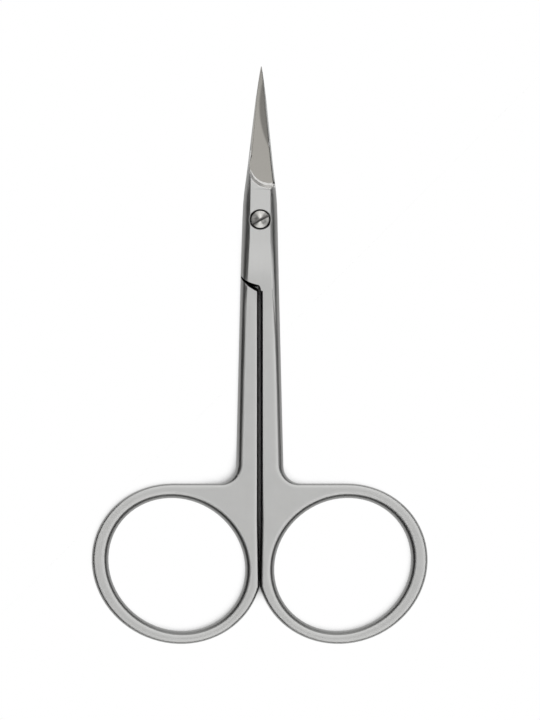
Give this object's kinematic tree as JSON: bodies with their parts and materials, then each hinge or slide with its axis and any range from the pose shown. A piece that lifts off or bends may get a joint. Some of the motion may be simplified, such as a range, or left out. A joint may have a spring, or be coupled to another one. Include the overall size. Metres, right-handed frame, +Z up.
{
  "type": "cuticle scissors",
  "caption": "Curved steel cuticle scissors with oval finger rings, long straight shanks, a slotted pivot screw and short tapered blades that curve upwards.",
  "frame": {"origin": "middle of the closed scissors' bounding box in plan, on the surface they lie on", "axes": "+Y along the length from the finger rings to the tips, +Z up from the surface, the way the tips curve, +X towards the ring of the upper half"},
  "size_m": [0.0538, 0.0922, 0.016],
  "materials": {
    "satin_steel": "fine bead-blasted satin, with the blades ground a little warmer",
    "turned_steel": "turned and lightly polished"
  },
  "bodies": {
    "back": {"back_half": "satin_steel", "pivot_screw": "turned_steel"},
    "front": {"front_half": "satin_steel"}
  },
  "joints": [
    {"name": "blade_hinge", "type": "hinge", "parent": "back", "child": "front", "pos_m": [0, 0.0223, 0.00404], "axis": [0, -0.342, 0.9397], "range_deg": [0, 50]}
  ]
}
